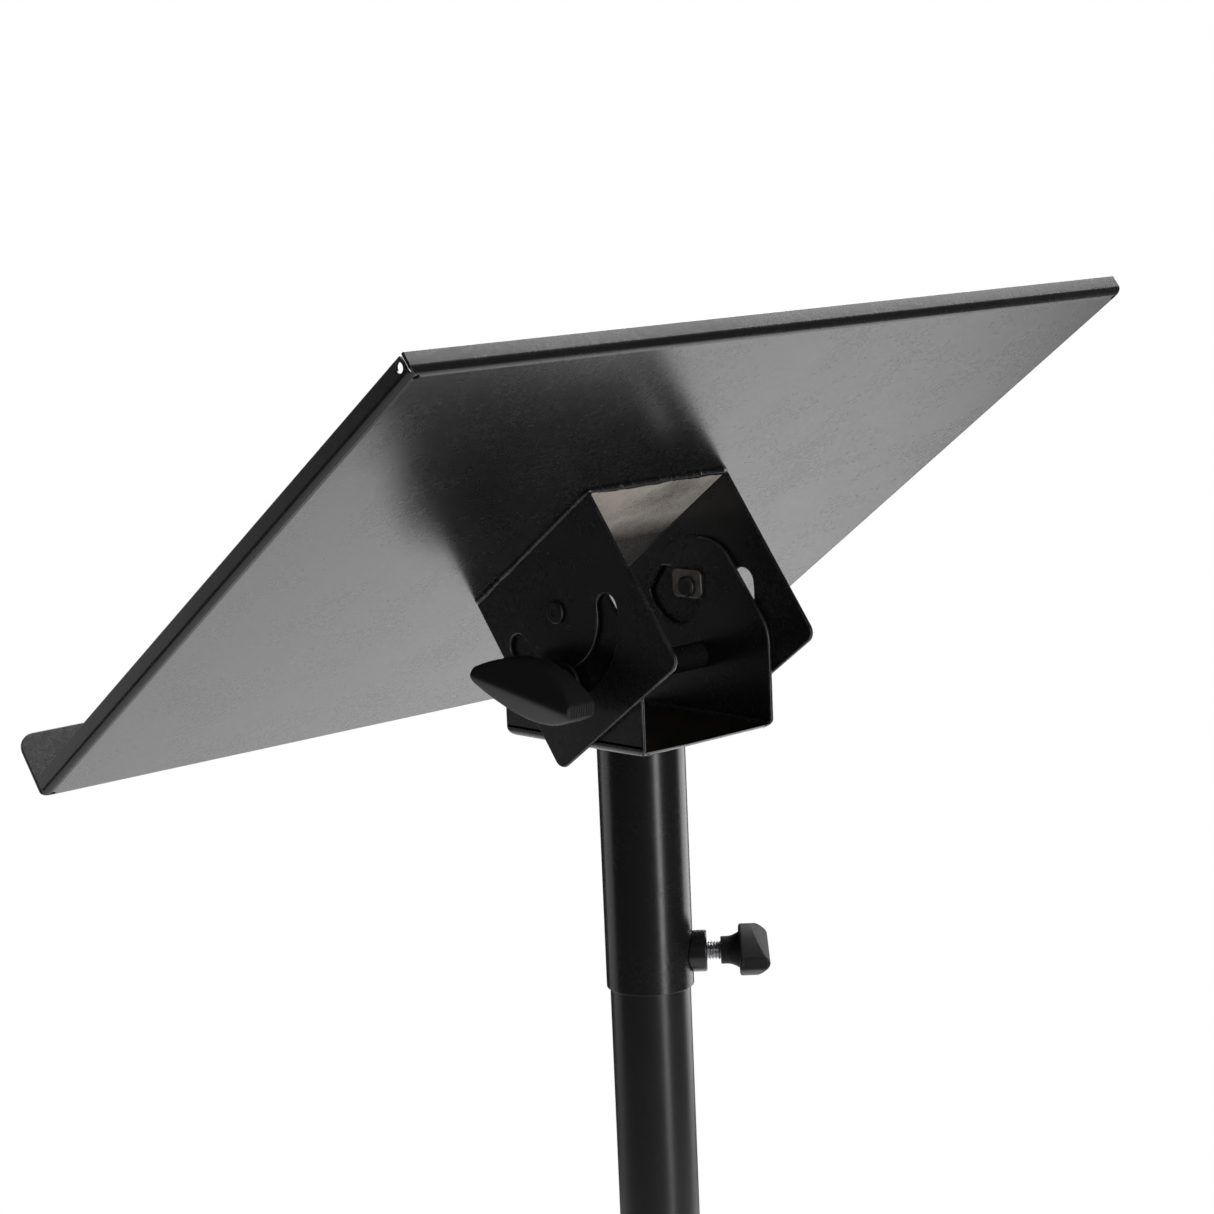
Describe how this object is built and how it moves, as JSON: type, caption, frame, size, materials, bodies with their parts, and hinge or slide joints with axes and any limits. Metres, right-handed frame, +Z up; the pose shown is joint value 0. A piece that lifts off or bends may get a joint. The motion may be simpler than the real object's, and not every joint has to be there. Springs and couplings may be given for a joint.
{
  "type": "music stand",
  "caption": "Free-standing music stand: shallow folded sheet tray with a ledge on a tilting yoke, telescopic pole and folding tripod base, black.",
  "frame": {"origin": "on the floor, on the axis of the tubes, midway between the three feet", "axes": "+X to the reader's right, +Y away from the reader, +Z up"},
  "size_m": [0.578, 0.5016, 1.1045],
  "materials": {
    "black_powder_coat": "satin black powder coat on folded steel sheet",
    "black_tube": "satin black powder coat on steel tube and strip",
    "black_oxide_steel": "black coated fasteners",
    "spacer_steel": "black coated spacer tube",
    "zinc_steel": "zinc plated steel",
    "moulded_nylon": "black moulded plastic, fine grain",
    "plain_plastic": "plain black plastic",
    "black_rubber": "matt black rubber"
  },
  "bodies": {
    "base": {"main_tube": "black_tube", "main_tube_plug": "plain_plastic", "height_collar": "moulded_nylon", "height_collar_liner": "plain_plastic", "height_collar_rivets": "zinc_steel", "base_hub": "moulded_nylon", "hub_screws": "zinc_steel", "hub_pins": "zinc_steel", "stop_ring": "moulded_nylon"},
    "pole": {"pole_tube": "black_tube", "pole_top_plug": "plain_plastic", "pole_guide_bush": "plain_plastic"},
    "head": {"yoke": "black_powder_coat", "pivot_rivets": "black_oxide_steel", "pivot_backing_plates": "black_oxide_steel", "clamp_bolt": "black_oxide_steel", "clamp_washers": "black_oxide_steel", "spacer_tube": "spacer_steel", "socket_tube": "black_powder_coat", "socket_weld_bead": "black_powder_coat", "socket_boss": "black_powder_coat"},
    "tray": {"tray_pan": "black_powder_coat", "tray_bracket": "black_powder_coat", "bracket_weld_beads": "black_powder_coat"},
    "tilt_knob": {"tilt_knob": "moulded_nylon", "tilt_knob_insert": "zinc_steel"},
    "socket_screw": {"socket_screw": "zinc_steel", "socket_knob": "moulded_nylon"},
    "height_screw": {"height_screw": "zinc_steel", "height_knob": "moulded_nylon"},
    "leg_collar": {"leg_collar": "moulded_nylon"},
    "leg_collar_screw": {"leg_collar_screw": "zinc_steel", "leg_collar_knob": "moulded_nylon"},
    "brace_1": {"brace_1": "black_tube", "brace_pin_1": "zinc_steel"},
    "leg_1": {"leg_1": "black_tube", "leg_knuckle_1": "moulded_nylon", "leg_top_pin_1": "zinc_steel", "foot_1": "black_rubber"},
    "brace_2": {"brace_2": "black_tube", "brace_pin_2": "zinc_steel"},
    "leg_2": {"leg_2": "black_tube", "leg_knuckle_2": "moulded_nylon", "leg_top_pin_2": "zinc_steel", "foot_2": "black_rubber"},
    "brace_3": {"brace_3": "black_tube", "brace_pin_3": "zinc_steel"},
    "leg_3": {"leg_3": "black_tube", "leg_knuckle_3": "moulded_nylon", "leg_top_pin_3": "zinc_steel", "foot_3": "black_rubber"}
  },
  "joints": [
    {"name": "pole_slide", "type": "slide", "parent": "base", "child": "pole", "axis": [0, 0, 1], "range_m": [-0.15, 0.26]},
    {"name": "head_pan", "type": "hinge", "parent": "pole", "child": "head", "pos_m": [0, 0, 0.86], "axis": [0, 0, 1], "continuous": true},
    {"name": "tray_tilt", "type": "hinge", "parent": "head", "child": "tray", "pos_m": [0, -0.0043, 0.98], "axis": [1, 0, 0], "range_deg": [-81, 29]},
    {"name": "tilt_knob_turn", "type": "hinge", "parent": "head", "child": "tilt_knob", "pos_m": [0, 0, 0.95], "axis": [1, 0, 0], "range_deg": [0, 360]},
    {"name": "socket_screw_turn", "type": "hinge", "parent": "head", "child": "socket_screw", "pos_m": [0, 0, 0.8246], "axis": [-0.7071, 0.7071, 0], "range_deg": [0, 360]},
    {"name": "height_screw_turn", "type": "hinge", "parent": "base", "child": "height_screw", "pos_m": [0, 0, 0.622], "axis": [0.866, 0.5, 0], "range_deg": [0, 360]},
    {"name": "leg_collar_slide", "type": "slide", "parent": "base", "child": "leg_collar", "axis": [0, 0, 1], "range_m": [0, 0.09729]},
    {"name": "leg_collar_screw_turn", "type": "hinge", "parent": "leg_collar", "child": "leg_collar_screw", "pos_m": [0, 0, 0.2519], "axis": [0.866, 0.5, 0], "range_deg": [0, 360]},
    {"name": "brace_1_fold", "type": "hinge", "parent": "base", "child": "brace_1", "pos_m": [0, 0.038, 0.06392], "axis": [1, 0, 0], "range_deg": [0, 42]},
    {"name": "leg_1_fold", "type": "hinge", "parent": "brace_1", "child": "leg_1", "pos_m": [0, 0.14525, 0.15391], "axis": [-1, 0, 0], "range_deg": [0, 84]},
    {"name": "brace_2_fold", "type": "hinge", "parent": "base", "child": "brace_2", "pos_m": [-0.03291, -0.019, 0.06392], "axis": [-0.5, 0.866, 0], "range_deg": [0, 42]},
    {"name": "leg_2_fold", "type": "hinge", "parent": "brace_2", "child": "leg_2", "pos_m": [-0.12579, -0.07262, 0.15391], "axis": [0.5, -0.866, 0], "range_deg": [0, 84]},
    {"name": "brace_3_fold", "type": "hinge", "parent": "base", "child": "brace_3", "pos_m": [0.03291, -0.019, 0.06392], "axis": [-0.5, -0.866, 0], "range_deg": [0, 42]},
    {"name": "leg_3_fold", "type": "hinge", "parent": "brace_3", "child": "leg_3", "pos_m": [0.12579, -0.07262, 0.15391], "axis": [0.5, 0.866, 0], "range_deg": [0, 84]}
  ],
  "couplings": [
    {"joint": "brace_1_fold", "follows": "leg_collar_slide", "rad_per_m": 7.5342},
    {"joint": "leg_1_fold", "follows": "leg_collar_slide", "rad_per_m": 15.068},
    {"joint": "brace_2_fold", "follows": "leg_collar_slide", "rad_per_m": 7.5342},
    {"joint": "leg_2_fold", "follows": "leg_collar_slide", "rad_per_m": 15.068},
    {"joint": "brace_3_fold", "follows": "leg_collar_slide", "rad_per_m": 7.5342},
    {"joint": "leg_3_fold", "follows": "leg_collar_slide", "rad_per_m": 15.068}
  ]
}
